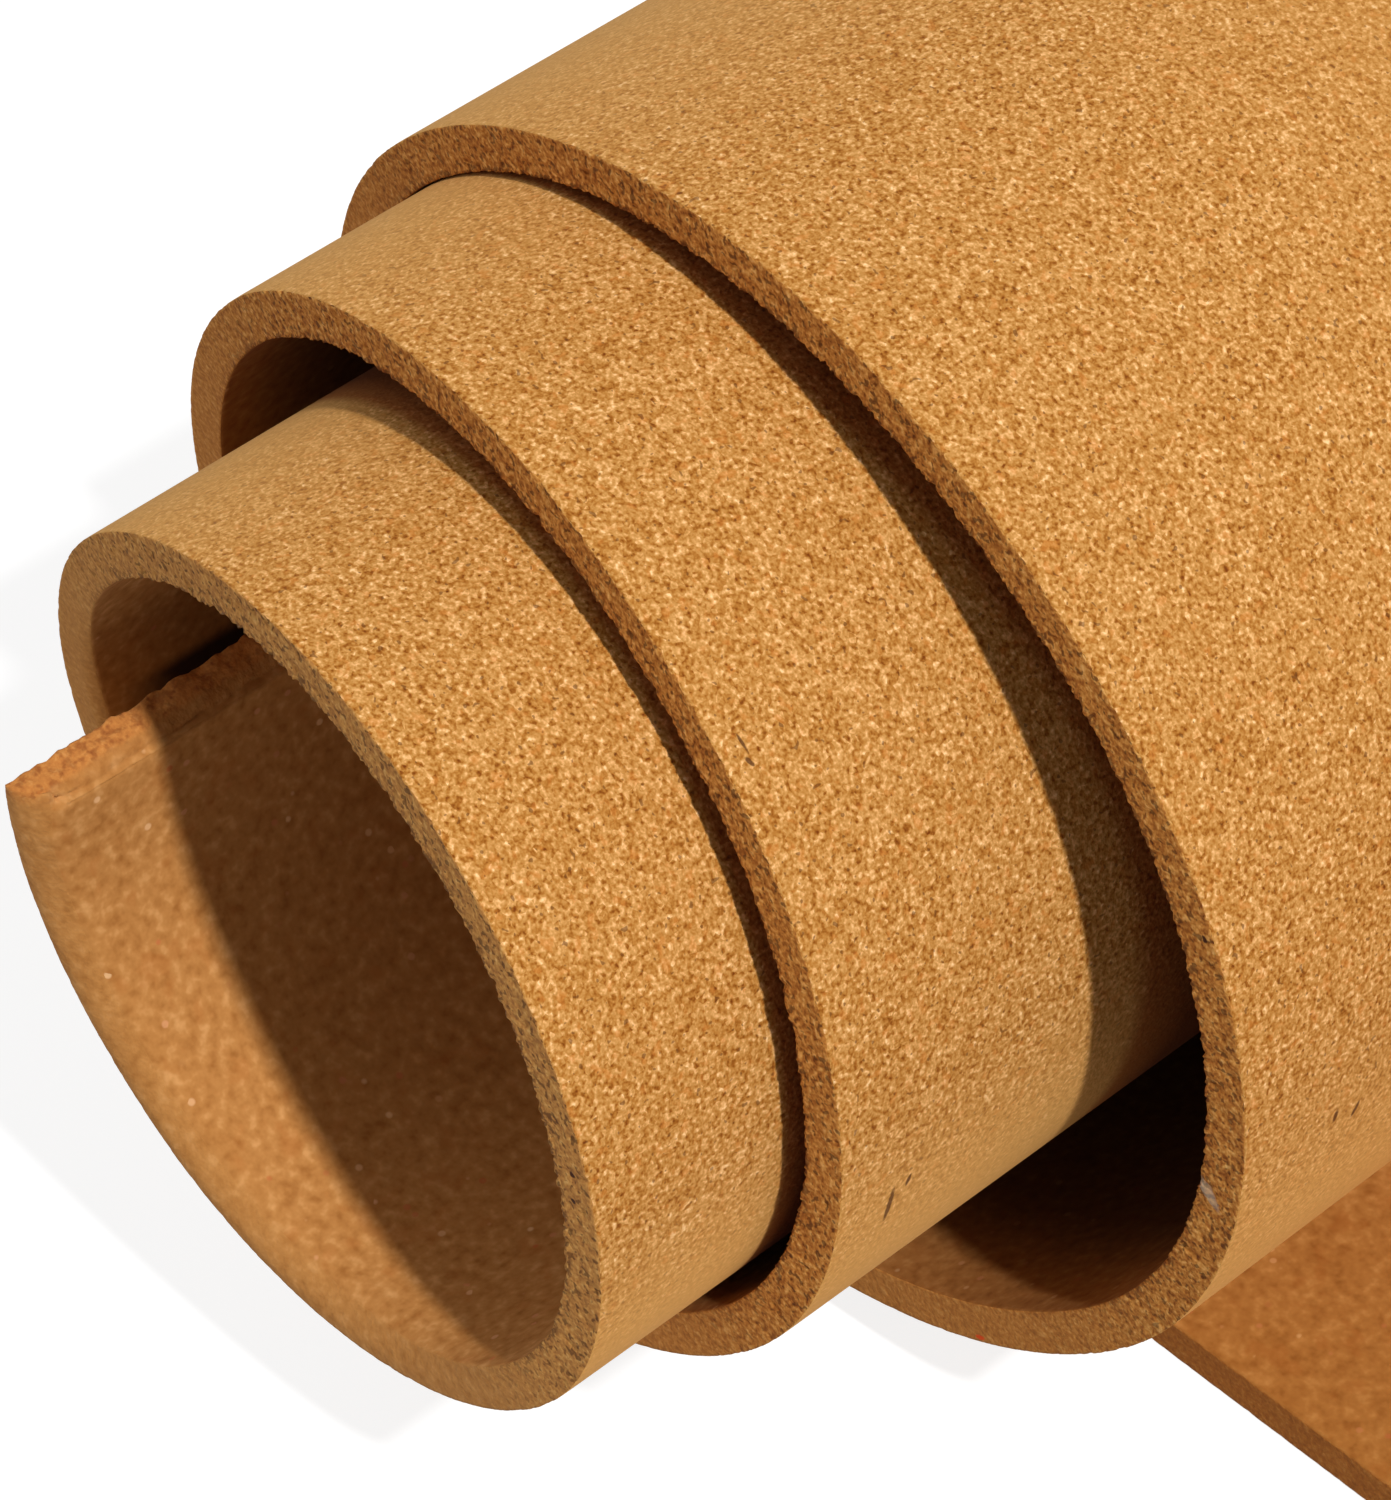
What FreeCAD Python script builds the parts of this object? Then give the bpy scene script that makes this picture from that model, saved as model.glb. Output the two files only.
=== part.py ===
"""A loosely rolled sheet of granulated cork underlayment, its outer end lying out flat on the floor."""
import FreeCAD, Part
import math
import os

V = FreeCAD.Vector

# Stock size, mm
THICKNESS = 6.0
WIDTH = 1000.0           # along the roll's axis
LENGTH = 2000.0          # along the sheet, from the inner end to the outer end

# The wound section in the XZ plane, followed along the middle of the sheet from its inner end outward.
# Headings are in degrees, 0 toward +X and 90 upward; each arc carries the sheet to the next heading.
START_X = -27.0
START_Z = 124.0
START_HEADING = -101.5
FIRST_HEADING = -45.0
HEADING_STEP = 45.0
RADII = [50.5, 41.5,     # up to the first level heading, and then a row for each turn
         48.5, 43.5, 53.0, 53.0, 57.5, 49.0, 47.0, 67.5,
         59.5, 52.5, 59.0, 72.5, 66.5, 66.0, 60.0, 91.5,
         85.5, 66.0, 67.5, 91.0, 90.0, 71.5, 73.0, 82.0]
CURVE_POINTS = 9         # points through which each arc's skewed edge passes

# The turns step back along the axis. EDGE is how far back the side edges lie at the inner end,
# and then after each EDGE_STEP of sheet.
EDGE_STEP = 160.0
EDGE = [0.0, 8.0, 21.0, 31.5, 47.5, 62.0, 68.5, 76.5, 88.0, 89.5]


def arcs():
    """Each arc's centre, radius, two headings and the sheet before it; then where the last one ends."""
    found = []
    x, z, a, s = START_X, START_Z, math.radians(START_HEADING), 0.0
    for i, r in enumerate(RADII):
        b = math.radians(FIRST_HEADING + HEADING_STEP * i)
        cx, cz = x - r * math.sin(a), z + r * math.cos(a)
        found.append((cx, cz, r, a, b, s))
        x, z = cx + r * math.sin(b), cz - r * math.cos(b)
        s += r * (b - a)
        a = b
    return found, x, z, s


def along_edge(s):
    """A smooth curve through the values of EDGE, mm back along the axis after s mm of sheet."""
    last = len(EDGE) - 1
    k = min(int(s / EDGE_STEP), last - 1)
    f = s / EDGE_STEP - k
    q1, q2 = EDGE[k], EDGE[k + 1]
    q0 = EDGE[k - 1] if k > 0 else 2 * q1 - q2
    q3 = EDGE[k + 2] if k + 2 <= last else 2 * q2 - q1
    bend = (2 * q0 - 5 * q1 + 4 * q2 - q3) * f ** 2 + (3 * q1 - q0 - 3 * q2 + q3) * f ** 3
    return (2 * q1 + (q2 - q0) * f + bend) / 2


def set_back(s):
    """How far back along the axis the side edges lie after s mm of sheet, straight along the tail."""
    if s <= wound:
        return along_edge(s)
    slope = along_edge(wound) - along_edge(wound - 1)
    return along_edge(wound) + slope * (s - wound)


def edge_curve(points):
    curve = Part.BSplineCurve()
    curve.interpolate(points)
    return curve.toShape()


def arc_edge(arc, lift, side):
    """The sheet's edge over one arc, on its outer (+) or inner (-) face, at the side from y = side."""
    cx, cz, r, a, b, s = arc
    points = []
    for i in range(CURVE_POINTS):
        h = a + (b - a) * i / (CURVE_POINTS - 1)
        y = side + set_back(s + r * (h - a))
        rr = r + lift
        points.append(V(cx + shift_x + rr * math.sin(h), y, cz + shift_z - rr * math.cos(h)))
    return edge_curve(points)


def plane_face(points):
    return Part.Face(Part.makePolygon(points + [points[0]]))


chain, end_x, end_z, wound = arcs()
half = THICKNESS / 2
tail = LENGTH - wound
downward = [chain[i] for i in range(len(chain)) if (FIRST_HEADING + HEADING_STEP * i) % 360 == 270]
leftmost = min(cx - r - half for cx, cz, r, a, b, s in downward)

# The origin lies on the floor, under the middle of the whole piece
shift_x = -(leftmost + end_x + tail) / 2
shift_z = half - end_z
front = -(WIDTH + set_back(LENGTH)) / 2
back = front + WIDTH
tail_x = end_x + shift_x

# The wound length: four ruled faces over each arc, between its four skewed edges
corners = ((half, front), (half, back), (-half, back), (-half, front))
faces = []
for arc in chain:
    four = [arc_edge(arc, lift, side) for lift, side in corners]
    if arc is chain[0]:
        inner_corners = [e.Vertexes[0].Point for e in four]
    for k in range(4):
        faces.append(Part.makeRuledSurface(four[k], four[(k + 1) % 4]))

# The flat outer end: four plane sides, from the section where the sheet meets the floor to its cut end
section = []
cut = []
for z, side in ((0.0, front), (0.0, back), (THICKNESS, back), (THICKNESS, front)):
    section.append(V(tail_x, side + set_back(wound), z))
    cut.append(V(tail_x + tail, side + set_back(LENGTH), z))
for k in range(4):
    n = (k + 1) % 4
    faces.append(plane_face([section[k], cut[k], cut[n], section[n]]))
faces.append(plane_face(cut))
faces.append(plane_face(inner_corners))

shell = Part.makeShell(faces)
shell.sewShape()
sheet = Part.makeSolid(Part.Shell(shell.Faces))
if sheet.Volume < 0:
    sheet.reverse()

os.makedirs("parts", exist_ok=True)
sheet.exportStep("parts/cork_sheet.step")
box = sheet.BoundBox
print("valid", sheet.isValid(), "volume", round(sheet.Volume), "wound length", round(wound, 1))
print("centre of mass", [round(v, 1) for v in sheet.CenterOfMass], "tail starts at x", round(tail_x, 1))
print("box", [round(v, 1) for v in (box.XMin, box.XMax, box.YMin, box.YMax, box.ZMin, box.ZMax)])
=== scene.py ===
"""Looks for a loosely rolled sheet of granulated cork underlayment."""
import math

import bpy
import numpy as np
from mathutils import Matrix, Vector, noise


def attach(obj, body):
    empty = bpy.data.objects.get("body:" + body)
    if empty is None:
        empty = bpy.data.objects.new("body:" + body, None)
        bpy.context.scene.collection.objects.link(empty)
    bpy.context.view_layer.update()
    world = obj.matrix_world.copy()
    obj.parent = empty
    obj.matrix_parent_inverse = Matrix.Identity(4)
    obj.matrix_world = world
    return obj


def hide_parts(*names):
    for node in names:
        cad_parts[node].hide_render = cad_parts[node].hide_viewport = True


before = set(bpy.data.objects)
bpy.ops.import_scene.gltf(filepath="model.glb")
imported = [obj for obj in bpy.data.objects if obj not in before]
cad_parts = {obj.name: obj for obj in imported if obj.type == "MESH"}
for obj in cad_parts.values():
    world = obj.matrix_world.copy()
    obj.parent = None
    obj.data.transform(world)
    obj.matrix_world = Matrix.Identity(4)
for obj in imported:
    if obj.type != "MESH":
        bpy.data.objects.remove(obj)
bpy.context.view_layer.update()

MM = 0.001
rng = np.random.default_rng(7)

# The sheet's own sizes, in mm and degrees, the same as the solid's
THICKNESS = 6.0
WIDTH = 1000.0
LENGTH = 2000.0
START_X = -27.0
START_Z = 124.0
START_HEADING = -101.5
FIRST_HEADING = -45.0
HEADING_STEP = 45.0
RADII = [50.5, 41.5,
         48.5, 43.5, 53.0, 53.0, 57.5, 49.0, 47.0, 67.5,
         59.5, 52.5, 59.0, 72.5, 66.5, 66.0, 60.0, 91.5,
         85.5, 66.0, 67.5, 91.0, 90.0, 71.5, 73.0, 82.0]
EDGE_STEP = 160.0
EDGE = [0.0, 8.0, 21.0, 31.5, 47.5, 62.0, 68.5, 76.5, 88.0, 89.5]

# The camera, worked out from the rims, the silhouettes and the cast shadows.
# It aims at a point that lies this far from the sheet's inner front corner, mm.
AZIMUTH, ELEVATION, ROLL = 52.28, 43.71, -5.15
DISTANCE, FOCAL_PX = 853.0, 5563.5
TARGET_FROM_START = (-71.12, 154.10, -145.73)
LONG_SIDE_PX = 1500

# The key light, in degrees; SUN_X and SUN_Z point toward it across the roll's section
SUN_AZIMUTH, SUN_ELEVATION = -6.8, 48.8
SUN_X, SUN_Z = 0.656, 0.755
SUN_ENERGY, SUN_ANGLE = 2.92, 2.5

# The soft light: the same from all round, and more of it from three sides
SKY = 0.08
SOFT_BOXES = (((-0.75, -0.25, 0.6), 4.0, 0.8),       # direction, how narrow, strength
              ((-0.3, 0.8, 0.5), 4.0, 0.38),
              ((0.0, -0.94, 0.34), 12.0, 0.73))

# The floor: its grey for light that bounces, its grey and glow for the camera, and its place in metres
FLOOR_BOUNCE = 0.5
FLOOR_SHADOW = 0.25
FLOOR_GLOW = 0.84
FLOOR_REACH = 6.0
FLOOR_DROP = 0.0002

# The mesh's own steps, mm
STEP = 0.42
FINE_END = 240.0         # how far back from the front the inner end's cut face is worked finely
FINE_ROW = 0.6
FINE_COLS = 5
NEAR_TAIL = 110.0        # how much of the tail the picture shows
TAIL_STEP = 0.8
FAR_STEPS = 40
HALF = THICKNESS / 2
U_COARSE = [0.0, 0.5, 1.2, 3.0, WIDTH - 0.8, WIDTH]
V = [-1.0, -0.86, -0.7, -0.5, -0.3, -0.1, 0.1, 0.3, 0.5, 0.7, 0.86, 1.0]

# How far the light gets in under the next turn, where the painted shadow on the outside starts: so much
# for each mm of gap, less a start, mm
LIT_FOR_GAP, LIT_START, LIT_LEAST = 0.72, 5.7, 0.8

# How torn, chipped and worn the cut edges are, mm
WANDER, LUMPS, PITS = 0.06, 0.07, 0.4
CHIPS_INNER, CHIPS_OUTER, CHIPS_BETWEEN = 0.25, 0.14, 0.04
WORN_SIDE, WORN_CORNER, WORN_FURTHER = 2.4, 2.0, 1.5
THINNED_SIDE, THINNED_END = 1.1, 0.9
CRUMBS, RAGGED_END, ROUNDED_END = 0.3, 0.35, 2.0
WORN_TO, WORN_FURTHER_TO = 150, 340     # along the sheet


def section_path():
    """Middle line of the wound sheet: x, z, heading and length of sheet."""
    x, z, a, s = START_X, START_Z, math.radians(START_HEADING), 0.0
    xs, zs, hs, ss = [x], [z], [a], [0.0]
    for i, r in enumerate(RADII):
        b = math.radians(FIRST_HEADING + HEADING_STEP * i)
        n = max(2, round(r * (b - a) / STEP))
        h = a + (b - a) * np.arange(1, n + 1) / n
        xs += list(x - r * math.sin(a) + r * np.sin(h))
        zs += list(z + r * math.cos(a) - r * np.cos(h))
        hs += list(h)
        ss += list(s + r * (h - a))
        x, z, a, s = xs[-1], zs[-1], b, ss[-1]
    return np.array(xs), np.array(zs), np.array(hs), np.array(ss)


def along_edge(s):
    """A smooth curve through the values of EDGE, mm back along the axis after s mm of sheet."""
    p = np.array([2 * EDGE[0] - EDGE[1]] + EDGE + [2 * EDGE[-1] - EDGE[-2]])
    k = np.clip((s / EDGE_STEP).astype(int), 0, len(EDGE) - 2)
    f = s / EDGE_STEP - k
    q0, q1, q2, q3 = p[k], p[k + 1], p[k + 2], p[k + 3]
    bend = (2 * q0 - 5 * q1 + 4 * q2 - q3) * f ** 2 + (3 * q1 - q0 - 3 * q2 + q3) * f ** 3
    return (2 * q1 + (q2 - q0) * f + bend) / 2


def set_back(s, wound):
    """The side edges' setting back: the curve, then straight along the tail."""
    slope = along_edge(np.float64(wound)) - along_edge(np.float64(wound - 1))
    w = np.minimum(np.asarray(s, float), wound)
    return along_edge(w) + slope * (s - w)


px, pz, ph, ps = section_path()
wound = ps[-1]
tail = LENGTH - wound
turned = [k for k in range(len(RADII)) if (FIRST_HEADING + HEADING_STEP * k) % 360 == 270]
stops = [int(np.argmin(np.abs(ph - math.radians(FIRST_HEADING + HEADING_STEP * k)))) for k in turned]
leftmost = min(px[i] for i in stops) - HALF
shift_x = -(leftmost + px[-1] + tail) / 2
shift_z = HALF - pz[-1]
front = -(WIDTH + float(set_back(np.float64(LENGTH), wound))) / 2
px = px + shift_x
pz = pz + shift_z

# the flat tail goes on from there, finely as far as the picture shows it
near = np.arange(TAIL_STEP, NEAR_TAIL, TAIL_STEP)
far = NEAR_TAIL + (tail - NEAR_TAIL) * (np.arange(0, FAR_STEPS + 1) / FAR_STEPS) ** 1.5
extra = np.concatenate([near, far])
px = np.concatenate([px, px[-1] + extra])
pz = np.concatenate([pz, np.full(len(extra), pz[-1])])
ph = np.concatenate([ph, np.full(len(extra), ph[-1])])
ps = np.concatenate([ps, wound + extra])
n_cols = len(ps)
edge_y = front + set_back(ps, wound)

# which way the outer side faces, how squarely it faces the sun, and how much it looks down toward the tail
side_x, side_z = np.sin(ph), -np.cos(ph)
sunward = SUN_X * side_x + SUN_Z * side_z
under = np.clip(side_x, 0, 1) * np.clip(0.2 - side_z, 0, 1)

# how far back from the front edge the next turn covers each place, how wide the gap under it is,
# and how far back the light gets in under it, where the painted shadow on the outside starts
n_wound = n_cols - len(extra)
past = ph[:n_wound] + math.tau
cover = np.full(n_cols, 2 * WIDTH)
gap = np.zeros(n_cols)
for i in np.flatnonzero(past <= ph[n_wound - 1]):
    next_y, next_x, next_z = (np.interp(past[i], ph[:n_wound], w[:n_wound]) for w in (edge_y, px, pz))
    cover[i] = next_y - edge_y[i]
    gap[i] = (next_x - px[i]) * side_x[i] + (next_z - pz[i]) * side_z[i] - THICKNESS
lit_to = cover + np.maximum(LIT_FOR_GAP * gap - LIT_START, LIT_LEAST)


def ragged(a, b, c, size, seed):
    """Smooth noise at scattered points, about -1 to 1."""
    out = np.empty(len(a))
    for i in range(len(a)):
        out[i] = noise.noise(Vector((a[i] / size + seed, b[i] / size - seed, c[i] / size)))
    return out * 1.6


def ring_keys(us):
    """The loop round one cross-section: the inner face from the far side, the front rim, and back."""
    last = us[-1]
    keys = [(u, -1.0) for u in reversed(us[1:])]
    keys += [(0.0, v) for v in V]
    return keys + [(u, 1.0) for u in us[1:]] + [(last, 0.1)]


# the cross-section's loops, joined column by column: fine ones at the inner end, then coarse ones
u_fine = sorted(set(U_COARSE) | {round(0.5 + FINE_ROW * k, 3) for k in range(int(FINE_END / FINE_ROW))})
index, col_of, u_of, v_of, faces = {}, [], [], [], []


def vert(col, u, v):
    """The number of the point at one column, u mm back from the front and v through the thickness."""
    key = (col, round(u, 3), round(v, 3))
    if key not in index:
        index[key] = len(col_of)
        col_of.append(col)
        u_of.append(u)
        v_of.append(v)
    return index[key]


def join_columns(c, ring):
    """Faces all round, between one column and the next."""
    for k in range(len(ring)):
        a, b = ring[k], ring[(k + 1) % len(ring)]
        faces.append((vert(c, *a), vert(c, *b), vert(c + 1, *b), vert(c + 1, *a)))


coarse_ring, fine_ring = ring_keys(U_COARSE), ring_keys(u_fine)
for c in range(FINE_COLS - 1):
    join_columns(c, fine_ring)
where = {(round(u, 3), round(v, 3)): k for k, (u, v) in enumerate(fine_ring)}

# one column is fine on one side and coarse on the other
for k in range(len(coarse_ring)):
    a, b = coarse_ring[k], coarse_ring[(k + 1) % len(coarse_ring)]
    run = [where[(round(a[0], 3), round(a[1], 3))]]
    while run[-1] != where[(round(b[0], 3), round(b[1], 3))]:
        run.append((run[-1] + 1) % len(fine_ring))
    near_side = tuple(vert(FINE_COLS - 1, *fine_ring[m]) for m in run)
    faces.append(near_side + (vert(FINE_COLS, *b), vert(FINE_COLS, *a)))
for c in range(FINE_COLS, n_cols - 1):
    join_columns(c, coarse_ring)

# the two end faces
for c, us, flip in ((0, u_fine, False), (n_cols - 1, U_COARSE, True)):
    for j in range(len(us) - 2):
        for k in range(len(V) - 1):
            a, b = us[j], us[j + 1]
            face = (vert(c, a, V[k]), vert(c, b, V[k]), vert(c, b, V[k + 1]), vert(c, a, V[k + 1]))
            faces.append(face[::-1] if flip else face)
    face = tuple(vert(c, us[-2], v) for v in V) + tuple(vert(c, us[-1], v) for v in (1.0, 0.1, -1.0))
    faces.append(face if flip else face[::-1])

col = np.array(col_of)
u, v = np.array(u_of), np.array(v_of)
s = ps[col]
at_front, at_back = u == 0, u == WIDTH
at_start, at_end = col == 0, col == n_cols - 1
on_face = np.abs(v) == 1
cut_side, cut_end = at_front | at_back, at_start | at_end

# how far each point moves: du across the width, ds along the sheet at its ends, dv through its thickness;
# the cut is torn most where it faces the sun
t = v * HALF
open_side = np.clip(sunward[col] * 1.4 + 0.5, 0.2, 1.0)
wander = WANDER * ragged(s, t * 0, t * 0, 31.0, 3.1)
lumps = ragged(s, u, t, 2.2, 11.7) * LUMPS * open_side
pits = np.clip(ragged(s, u, t, 1.3, 23.9) - 0.3, 0, 1) * PITS * open_side
torn = np.select([v == -1, v == 1], [CHIPS_INNER * open_side, CHIPS_OUTER * open_side], CHIPS_BETWEEN)
chips = (rng.random(len(s)) - 0.5) * torn
rough = lumps + pits + chips
du = np.where(cut_side, wander + rough, 0) * np.where(at_back, -1, 1)

# the first turn's inner edge is worn round, most of all near its corner
shaded = np.clip(-0.2 - sunward[col], 0, 0.6) / 0.6
near_end = np.maximum(shaded, np.exp(-s / 20)) * (s < WORN_TO)
further = (s > WORN_TO) & (s < WORN_FURTHER_TO)
worn = WORN_FURTHER * shaded * further * (np.clip(-0.4 - v, 0, 0.6) / 0.6) ** 1.5
corner = WORN_SIDE * near_end + WORN_CORNER * np.exp(-s / 5)
worn += corner * (np.clip(0.6 - v, 0, 1.6) / 1.6) ** 1.5
du += worn * np.clip(1 - u / 6, 0, 1)
thinned = THINNED_SIDE * near_end * np.exp(-u / 2.5) + THINNED_END * np.exp(-s / 1.6)
t = t + thinned * ((1 - v) / 2) ** 2

# the sheet's ends are crumbled, and the inner end is worn round too
crumbs = CRUMBS * ragged(u, t, s, 4.5, 5.3)
ds = np.where(cut_end, rough * 1.5 + crumbs, 0) * np.where(at_end, -1, 1)
ds += np.where(at_start, RAGGED_END * ragged(u, t, s, 1.7, 41.0) * np.clip(v + 0.4, 0, 1), 0)
ds += np.where(at_start, ROUNDED_END * (np.clip(0.1 - v, 0, 1.1) / 1.1) ** 1.5, 0)
ds += np.where((v == -1) & (s > 0) & (s < 3), ROUNDED_END * (1 - s / 3), 0)
from_cut = np.minimum(np.minimum(u, WIDTH - u), np.minimum(s, LENGTH - s))
edge = np.where(cut_side | cut_end, 1.0, np.exp(-from_cut / 0.45))
crumbled = 0.35 * np.abs(ragged(u, s, t, 3.2, 8.9)) + 0.3 * np.abs(ragged(u, s, t, 1.6, 2.7))
crumbled = crumbled * np.exp(-s / 1.5)
dv = np.where(on_face, edge * (0.03 + rough * 0.5) + crumbled, 0) * np.sign(v)
t = t - dv
x = px[col] + side_x[col] * t + np.cos(ph[col]) * ds
z = np.maximum(pz[col] + side_z[col] * t + np.sin(ph[col]) * ds, 0.0)
y = edge_y[col] + u + du

mesh = bpy.data.meshes.new("cork_roll")
mesh.from_pydata(np.stack([x, y, z], 1) * MM, [], faces)
mesh.update()

# where each point lies on the sheet, which way it looks, and the painted shadow's depth, for the materials
painted_shadow = (u - lit_to[col]) / (0.5 * gap[col] + 2)
placed = {"along": s * MM, "across": u * MM, "depth": t * MM,
          "painted_shadow": painted_shadow, "sunward": sunward[col], "under": under[col]}
for name, values in placed.items():
    mesh.attributes.new(name, "FLOAT", "POINT").data.foreach_set("value", values.astype(np.float32))
roll = bpy.data.objects.new("cork_roll", mesh)
bpy.context.scene.collection.objects.link(roll)
print("triangles", sum(len(p.vertices) - 2 for p in mesh.polygons))

# which of the three kinds of surface each face belongs to
OUTER, INNER, CUT = 0, 1, 2
kinds = []
for face in faces:
    vs = [v_of[i] for i in face]
    kinds.append(OUTER if min(vs) == 1 else INNER if max(vs) == -1 else CUT)
mesh.polygons.foreach_set("material_index", kinds)
mesh.polygons.foreach_set("use_smooth", np.ones(len(faces), bool))


def linear(r, g, b):
    """A colour written as 0-255 display values, as linear light."""
    shown = [c / 255 for c in (r, g, b)]
    parts = [c / 12.92 if c <= 0.04045 else ((c + 0.055) / 1.055) ** 2.4 for c in shown]
    return (*parts, 1.0)


def grey(c):
    """An even grey, as linear light."""
    return (c, c, c, 1.0)


class Tree:
    """Short ways to add nodes to one material or world."""

    def __init__(self, owner):
        owner.use_nodes = True
        self.nodes, self.links = owner.node_tree.nodes, owner.node_tree.links
        self.nodes.clear()

    def put(self, socket, value):
        """Joins another node to the socket, or sets its plain value."""
        if isinstance(value, bpy.types.NodeSocket):
            self.links.new(value, socket)
        else:
            socket.default_value = value

    def node(self, kind, inputs=None, **settings):
        """A new node of the kind, with its settings and inputs."""
        n = self.nodes.new(kind)
        for key, value in settings.items():
            setattr(n, key, value)
        for key, value in (inputs or {}).items():
            self.put(n.inputs[key], value)
        return n

    def math(self, op, *values):
        return self.node("ShaderNodeMath", dict(enumerate(values)), operation=op).outputs[0]

    def mix(self, factor, a, b, blend="MIX"):
        """The colour a with b laid over it by the factor."""
        n = self.node("ShaderNodeMix", data_type="RGBA", blend_type=blend)
        self.put(n.inputs["Factor"], factor)
        rgba = [i for i in n.inputs if i.type == "RGBA"]
        self.put(rgba[0], a)
        self.put(rgba[1], b)
        return [o for o in n.outputs if o.type == "RGBA"][0]

    def ramp(self, value, stops):
        """The colour that the stops give for the value."""
        n = self.node("ShaderNodeValToRGB", {0: value})
        marks = n.color_ramp.elements
        marks[0].position, marks[0].color = stops[0]
        marks[1].position, marks[1].color = stops[-1]
        for place, colour in stops[1:-1]:
            marks.new(place).color = colour
        return n.outputs[0]

    def noise(self, vector, scale, detail=1.0, rough=0.5):
        inputs = {"Vector": vector, "Scale": scale, "Detail": detail, "Roughness": rough}
        return self.node("ShaderNodeTexNoise", inputs).outputs["Fac"]

    def cells(self, vector, scale):
        """Random value of each cell, and the distance from its middle in cell widths."""
        n = self.node("ShaderNodeTexVoronoi", {"Vector": vector, "Scale": scale})
        return self.node("ShaderNodeSeparateColor", {0: n.outputs["Color"]}).outputs, n.outputs["Distance"]

    def place(self):
        return self.node("ShaderNodeTexCoord").outputs["Object"]

    def attribute(self, name):
        return self.node("ShaderNodeAttribute", attribute_name=name).outputs["Fac"]

    def between(self, value, low, high):
        """0 below the low value, 1 above the high one, smooth from one to the other."""
        inputs = {0: value, 1: low, 2: high, 3: 0.0, 4: 1.0}
        return self.node("ShaderNodeMapRange", inputs, interpolation_type="SMOOTHSTEP").outputs[0]

    def stretch(self, rise, fall):
        """1 along one stretch of the sheet and 0 elsewhere; where it rises and where it falls off, m."""
        along = self.attribute("along")
        return self.math("MULTIPLY", self.between(along, *rise), self.between(along, *fall))

    def oval(self, second, middle, size, slant=0.0):
        """1 round an oval and less inside, from its place along the sheet and across or through it, mm."""
        p = self.math("MULTIPLY_ADD", self.attribute("along"), 1000.0, -middle[0])
        q = self.math("MULTIPLY_ADD", self.attribute(second), 1000.0, -middle[1])
        q = self.math("MULTIPLY_ADD", p, -slant, q)
        p = self.math("DIVIDE", p, size[0])
        q = self.math("DIVIDE", q, size[1])
        return self.math("MULTIPLY_ADD", p, p, self.math("MULTIPLY", q, q))

    def spots(self, ovals):
        """1 in ragged oval spots and 0 outside them."""
        least = 9.0
        for one in ovals:
            least = self.math("MINIMUM", least, self.oval(*one))
        ragged_edge = self.math("MULTIPLY_ADD", self.noise(self.place(), 2200), 1.2, least)
        return self.math("SUBTRACT", 1.0, self.between(ragged_edge, 1.0, 1.9))

    def finish(self, colour, height, strength, distance):
        """The matt surface with its colour and fine relief."""
        bump = self.node("ShaderNodeBump", {"Strength": strength, "Distance": distance, "Height": height})
        shader = self.node("ShaderNodeBsdfPrincipled", {"Roughness": 0.9, "Specular IOR Level": 0.2})
        self.put(shader.inputs["Base Color"], colour)
        self.put(shader.inputs["Normal"], bump.outputs[0])
        self.node("ShaderNodeOutputMaterial", {0: shader.outputs[0]})


def spread(middle, deviation, steps):
    """Ramp marks at so many deviations of a value from its middle."""
    return [(middle + deviation * k, colour) for k, colour in steps]


# Marks the sheet has: along the sheet, across or through it, half sizes and slant, mm
SCRATCHES = [("across", (490.4, 8.1), (2.8, 0.42), 0.1),
             ("across", (492.6, 10.6), (0.8, 0.36), 0.3),
             ("across", (940.2, 14.6), (1.0, 0.38), 0.2),
             ("across", (938.8, 17.9), (1.1, 0.38), 0.5),
             ("across", (550.0, 3.2), (1.2, 0.22), -0.1),
             ("across", (548.0, 3.0), (0.7, 0.3), -0.4)]
HOLES = [("depth", (972.6, 1.5), (0.5, 0.45)),
         ("depth", (166.9, 0.1), (0.45, 0.4)),
         ("depth", (163.0, -0.6), (0.4, 0.45))]
SCUFF = ("depth", (934.5, -1.5), (1.7, 1.4), -0.9)
RED_FLECK = ("depth", (867.2, 2.3), (0.9, 0.4))


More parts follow.
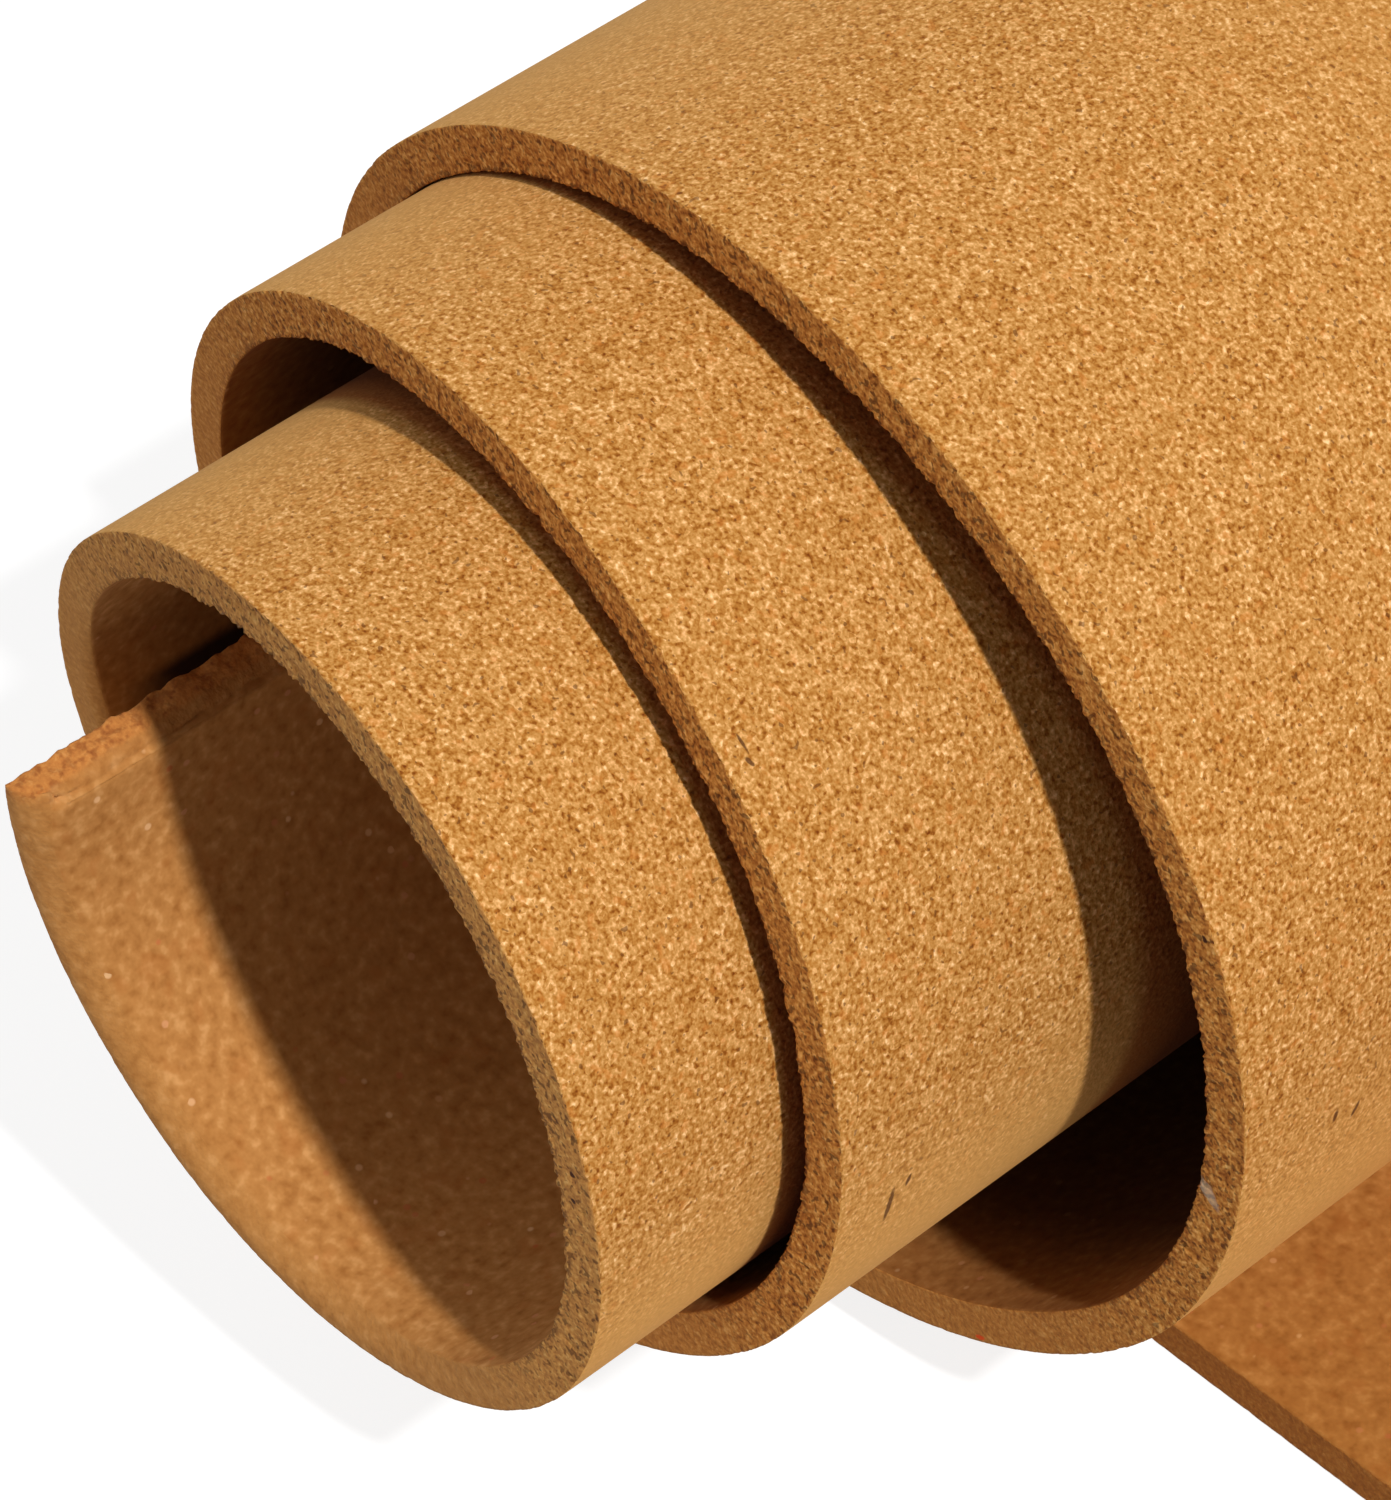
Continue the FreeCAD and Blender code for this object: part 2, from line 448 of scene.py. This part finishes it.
def outer_cork():
    """The outside: close-packed granules about one tan, with painted shade, darker and redder, where the
    next turn keeps the light off, and painted light where it turns from the sun or looks down.
    """
    material = bpy.data.materials.new("cork_outside")
    tree = Tree(material)
    at = tree.place()
    grain = tree.noise(at, 1850, 1.0, 0.5)
    flakes = tree.cells(at, 1650)[0]
    mixed = tree.math("MULTIPLY_ADD", flakes[0], 0.28, grain)
    tone = tree.ramp(mixed, spread(0.64, 0.155, [
        (-2.6, linear(120, 56, 4)), (-1.6, linear(156, 92, 24)), (-0.65, linear(184, 122, 50)),
        (0.0, linear(196, 138, 68)), (0.65, linear(209, 152, 83)), (1.6, linear(238, 180, 114)),
        (2.6, linear(255, 212, 152))]))
    ruddy = tree.between(tree.noise(at, 700), 0.6, 0.72)
    tone = tree.mix(tree.math("MULTIPLY", ruddy, 0.35), tone, linear(214, 130, 54))
    crevice = tree.between(tree.noise(at, 1500, 0.0), 0.74, 0.8)
    tone = tree.mix(tree.math("MULTIPLY", crevice, 0.6), tone, linear(92, 46, 14))
    deep = tree.between(tree.attribute("across"), 0.045, 0.1)
    tone = tree.mix(tree.math("MULTIPLY", deep, 0.38), tone, linear(200, 141, 71))
    # painted light: lighter where the outer side turns away from the sun
    turned = tree.math("SUBTRACT", 1.0, tree.between(tree.attribute("sunward"), 0.1, 0.8))
    tone = tree.mix(tree.math("MULTIPLY", turned, 0.78), tone, linear(219, 165, 93))
    # painted light: lighter on faces that look down toward the tail
    painted_light_below = tree.between(tree.attribute("under"), 0.1, 0.9)
    tone = tree.mix(tree.math("MULTIPLY", painted_light_below, 0.8), tone, linear(246, 181, 97))
    # painted shadow: darker and redder the deeper a place lies in the shade under the next turn
    painted_shadow = tree.ramp(tree.attribute("painted_shadow"), [
        (0.0, grey(1.0)), (0.25, linear(200, 168, 148)), (1.0, linear(137, 101, 80))])
    tone = tree.mix(1.0, tone, painted_shadow, "MULTIPLY")
    tone = tree.mix(tree.math("MULTIPLY", tree.spots(SCRATCHES), 0.85), tone, linear(84, 42, 14))
    tree.finish(tone, mixed, 0.35, 0.0003)
    return material


# The tones of a pressed or worn-smooth face
PRESSED = [(-2.5, linear(162, 103, 46)), (-0.6, linear(181, 122, 62)), (0.6, linear(189, 130, 69)),
           (2.5, linear(208, 151, 90))]


def inner_cork():
    """The inside, pressed smoother, with low contrast; painted shade past the first turn and further in,
    and a painted contact shadow above the inner end.
    """
    material = bpy.data.materials.new("cork_inside")
    tree = Tree(material)
    at = tree.place()
    grain = tree.noise(at, 600, 2.0, 0.5)
    tone = tree.ramp(grain, spread(0.5, 0.1, PRESSED))
    blotch = tree.between(tree.noise(at, 260, 2.0), 0.56, 0.7)
    tone = tree.mix(tree.math("MULTIPLY", blotch, 0.3), tone, linear(178, 106, 46))
    flakes, middle = tree.cells(at, 650)
    small = tree.math("SUBTRACT", 1.0, tree.between(middle, 0.2, 0.4))
    fleck = tree.math("MULTIPLY", tree.between(flakes[0], 0.93, 0.95), small)
    fleck_tone = tree.mix(flakes[1], linear(250, 205, 150), linear(190, 84, 40))
    tone = tree.mix(tree.math("MULTIPLY", fleck, 0.6), tone, fleck_tone)
    # painted shade: the inside darker past the first turn, in the outer turns' shade; a little less dark
    # along the tail, as its tone
    painted_shade_and_tail_tone = tree.ramp(tree.math("MULTIPLY", tree.attribute("along"), 0.5), [
        (0.17, grey(1.0)), (0.22, linear(212, 202, 188)),
        (0.58, linear(212, 202, 188)), (0.65, linear(234, 225, 198))])
    tone = tree.mix(1.0, tone, painted_shade_and_tail_tone, "MULTIPLY")
    # painted shade deeper inside the outer turns
    painted_shade_far_in = tree.between(tree.attribute("across"), 0.002, 0.022)
    painted_shade_far_in = tree.math("MULTIPLY", painted_shade_far_in, tree.stretch((0.36, 0.5), (1.3, 1.2)))
    tone = tree.mix(painted_shade_far_in, tone, linear(160, 150, 140), "MULTIPLY")
    # a painted contact shadow on the first turn's inside, above the inner end
    painted_contact_shadow = tree.between(tree.attribute("across"), 0.001, 0.012)
    painted_contact_shadow = tree.math("MULTIPLY", painted_contact_shadow, tree.stretch((0.3176, 0.3206), (0.332, 0.326)))
    tone = tree.mix(painted_contact_shadow, tone, linear(74, 60, 50), "MULTIPLY")
    tree.finish(tone, grain, 0.15, 0.0003)
    return material


def cut_cork():
    """The cut edges: sawn granules with dark pits, smoother where worn; painted plainer on the side turned
    from the sun, with the pits' painted shade only where it faces the sun.
    """
    material = bpy.data.materials.new("cork_cut")
    tree = Tree(material)
    at = tree.place()
    grain = tree.noise(at, 1500, 1.5, 0.6)
    flakes = tree.cells(at, 1500)[0]
    mixed = tree.math("MULTIPLY_ADD", flakes[0], 0.15, grain)
    tone = tree.ramp(mixed, spread(0.575, 0.12, [
        (-2.4, linear(118, 60, 14)), (-0.8, linear(174, 108, 44)), (0.0, linear(192, 127, 56)),
        (0.8, linear(208, 145, 69)), (2.4, linear(238, 184, 108))]))
    # painted light: the grain is plainer on the side turned from the sun, which grazing light doesn't pick
    # out
    open_side = tree.between(tree.attribute("sunward"), -0.45, 0.35)
    past_end = tree.between(tree.attribute("along"), 0.0002, 0.003)
    painted_plain_in_shade = tree.math("MULTIPLY", tree.math("MULTIPLY_ADD", open_side, -0.6, 0.6), past_end)
    tone = tree.mix(painted_plain_in_shade, tone, linear(191, 127, 61))
    greyer = tree.math("SUBTRACT", 1.0, tree.between(tree.attribute("along"), 0.36, 0.46))
    tone = tree.mix(tree.math("MULTIPLY", greyer, 0.35), tone, linear(190, 140, 80))
    on_tail = tree.between(tree.attribute("along"), 1.2, 1.36)
    tone = tree.mix(on_tail, tone, linear(225, 210, 188), "MULTIPLY")
    smooth_side = tree.math("MULTIPLY", tree.between(tree.attribute("along"), 0.13, 0.1), past_end)
    pressed = tree.ramp(tree.noise(at, 600, 2.0, 0.5), spread(0.5, 0.1, PRESSED))
    tone = tree.mix(tree.math("MULTIPLY", smooth_side, 0.75), tone, pressed)
    end_face = tree.math("SUBTRACT", 1.0, past_end)
    lump = tree.between(tree.noise(at, 800, 2.0), 0.46, 0.64)
    crumb = tree.mix(lump, linear(198, 122, 58), linear(148, 72, 28))
    tone = tree.mix(tree.math("MULTIPLY", end_face, 0.6), tone, crumb)
    rounded = tree.math("MULTIPLY", tree.between(tree.attribute("depth"), -0.0002, -0.001), end_face)
    tone = tree.mix(tree.math("MULTIPLY", rounded, 0.8), tone, pressed)
    pits = tree.between(tree.noise(at, 1250, 1.0), 0.57, 0.66)
    inner_edge = tree.between(tree.attribute("depth"), -0.0014, -0.0028)
    crumbs = tree.math("MULTIPLY", inner_edge, tree.between(tree.noise(at, 1400, 1.0), 0.5, 0.6))
    pits = tree.math("MAXIMUM", pits, crumbs)
    # painted shade: the pits and crumbs darken only where the cut faces the sun, as the shade of crumbs in
    # grazing light
    pits = tree.math("MULTIPLY", pits, tree.math("MULTIPLY", past_end, open_side))
    pits = tree.math("MAXIMUM", tree.math("MULTIPLY", pits, 0.65), tree.spots(HOLES))
    tone = tree.mix(pits, tone, linear(66, 32, 12))
    tone = tree.mix(tree.math("MULTIPLY", tree.spots([SCUFF]), 0.45), tone, linear(196, 188, 172))
    tone = tree.mix(tree.math("MULTIPLY", tree.spots([RED_FLECK]), 0.8), tone, linear(236, 70, 20))
    height = tree.math("SUBTRACT", mixed, tree.math("MULTIPLY", pits, 0.5))
    tree.finish(tone, height, 0.45, 0.0003)
    return material


for material in (outer_cork(), inner_cork(), cut_cork()):
    mesh.materials.append(material)
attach(roll, "root")
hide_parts("cork_sheet")


def background_rays(tree):
    """1 where the camera, a reflection or a refraction looks, 0 for light that falls on the object."""
    path = tree.node("ShaderNodeLightPath").outputs
    mirrored = tree.math("MAXIMUM", path["Is Glossy Ray"], path["Is Transmission Ray"])
    return tree.math("MAXIMUM", path["Is Camera Ray"], mirrored)


def lay_floor():
    """A plain pale floor: white to the eye, with the object's soft shadow on it."""
    corners = [(i * FLOOR_REACH, j * FLOOR_REACH, 0) for i, j in ((-1, -1), (1, -1), (1, 1), (-1, 1))]
    plane = bpy.data.meshes.new("floor")
    plane.from_pydata(corners, [], [(0, 1, 2, 3)])
    floor = bpy.data.objects.new("floor", plane)
    floor.location.z = -FLOOR_DROP
    bpy.context.scene.collection.objects.link(floor)
    material = bpy.data.materials.new("floor_white")
    tree = Tree(material)
    seen = background_rays(tree)
    paint = tree.mix(seen, grey(FLOOR_BOUNCE), grey(FLOOR_SHADOW))
    plain = tree.node("ShaderNodeBsdfDiffuse", {"Color": paint})
    glow = tree.node("ShaderNodeEmission", {"Strength": tree.math("MULTIPLY", seen, FLOOR_GLOW)})
    both = tree.node("ShaderNodeAddShader", {0: plain.outputs[0], 1: glow.outputs[0]})
    tree.node("ShaderNodeOutputMaterial", {0: both.outputs[0]})
    plane.materials.append(material)


def toward(azimuth, elevation):
    """Direction from +X toward +Y by the azimuth, and up by the elevation, in degrees."""
    a, e = math.radians(azimuth), math.radians(elevation)
    return Vector((math.cos(e) * math.cos(a), math.cos(e) * math.sin(a), math.sin(e)))


def add_sun(name, azimuth, elevation, energy, angle):
    """Sunlight that comes from one direction, with edges as soft as its angle makes them."""
    lamp = bpy.data.lights.new(name, "SUN")
    lamp.energy = energy
    lamp.angle = math.radians(angle)
    lamp_object = bpy.data.objects.new(name, lamp)
    lamp_object.rotation_mode = "QUATERNION"
    lamp_object.rotation_quaternion = toward(azimuth, elevation).to_track_quat("Z", "Y")
    bpy.context.scene.collection.objects.link(lamp_object)


def light_world():
    """Soft light from all round, stronger where the soft boxes stand; white where it is looked at."""
    world = bpy.data.worlds.new("studio")
    bpy.context.scene.world = world
    tree = Tree(world)
    direction = tree.node("ShaderNodeTexCoord").outputs["Generated"]
    strength = SKY
    for middle, power, level in SOFT_BOXES:
        both_ways = {0: direction, 1: Vector(middle).normalized()}
        facing = tree.node("ShaderNodeVectorMath", both_ways, operation="DOT_PRODUCT")
        lobe = tree.math("POWER", tree.math("MAXIMUM", facing.outputs["Value"], 0.0), power)
        strength = tree.math("MULTIPLY_ADD", lobe, level, strength)
    soft = tree.node("ShaderNodeBackground", {"Color": grey(1.0), "Strength": strength})
    plain = tree.node("ShaderNodeBackground", {"Color": grey(1.0), "Strength": 1.0})
    sides = {0: background_rays(tree), 1: soft.outputs[0], 2: plain.outputs[0]}
    blend = tree.node("ShaderNodeMixShader", sides)
    tree.node("ShaderNodeOutputWorld", {0: blend.outputs[0]})


def aim_camera():
    """The camera at the photograph's viewing angle."""
    a, e, r = math.radians(AZIMUTH), math.radians(ELEVATION), math.radians(ROLL)
    back = Vector((math.sin(a) * math.cos(e), -math.cos(a) * math.cos(e), math.sin(e)))
    level = Vector((math.cos(a), math.sin(a), 0))
    up = back.cross(level)
    right = level * math.cos(r) + up * math.sin(r)
    up = up * math.cos(r) - level * math.sin(r)
    start = Vector((START_X + shift_x, front, START_Z + shift_z))
    target = (start + Vector(TARGET_FROM_START)) * MM
    camera = bpy.data.cameras.new("camera")
    camera.sensor_width = 36.0
    camera.lens = FOCAL_PX / LONG_SIDE_PX * camera.sensor_width
    camera.clip_start, camera.clip_end = 0.05, 50.0
    holder = bpy.data.objects.new("camera", camera)
    turn = Matrix((right, up, back)).transposed().to_4x4()
    holder.matrix_world = Matrix.Translation(target + back * DISTANCE * MM) @ turn
    bpy.context.scene.collection.objects.link(holder)
    bpy.context.scene.camera = holder


lay_floor()
light_world()
add_sun("key", SUN_AZIMUTH, SUN_ELEVATION, SUN_ENERGY, SUN_ANGLE)
aim_camera()
bpy.context.scene.view_settings.view_transform = "Standard"
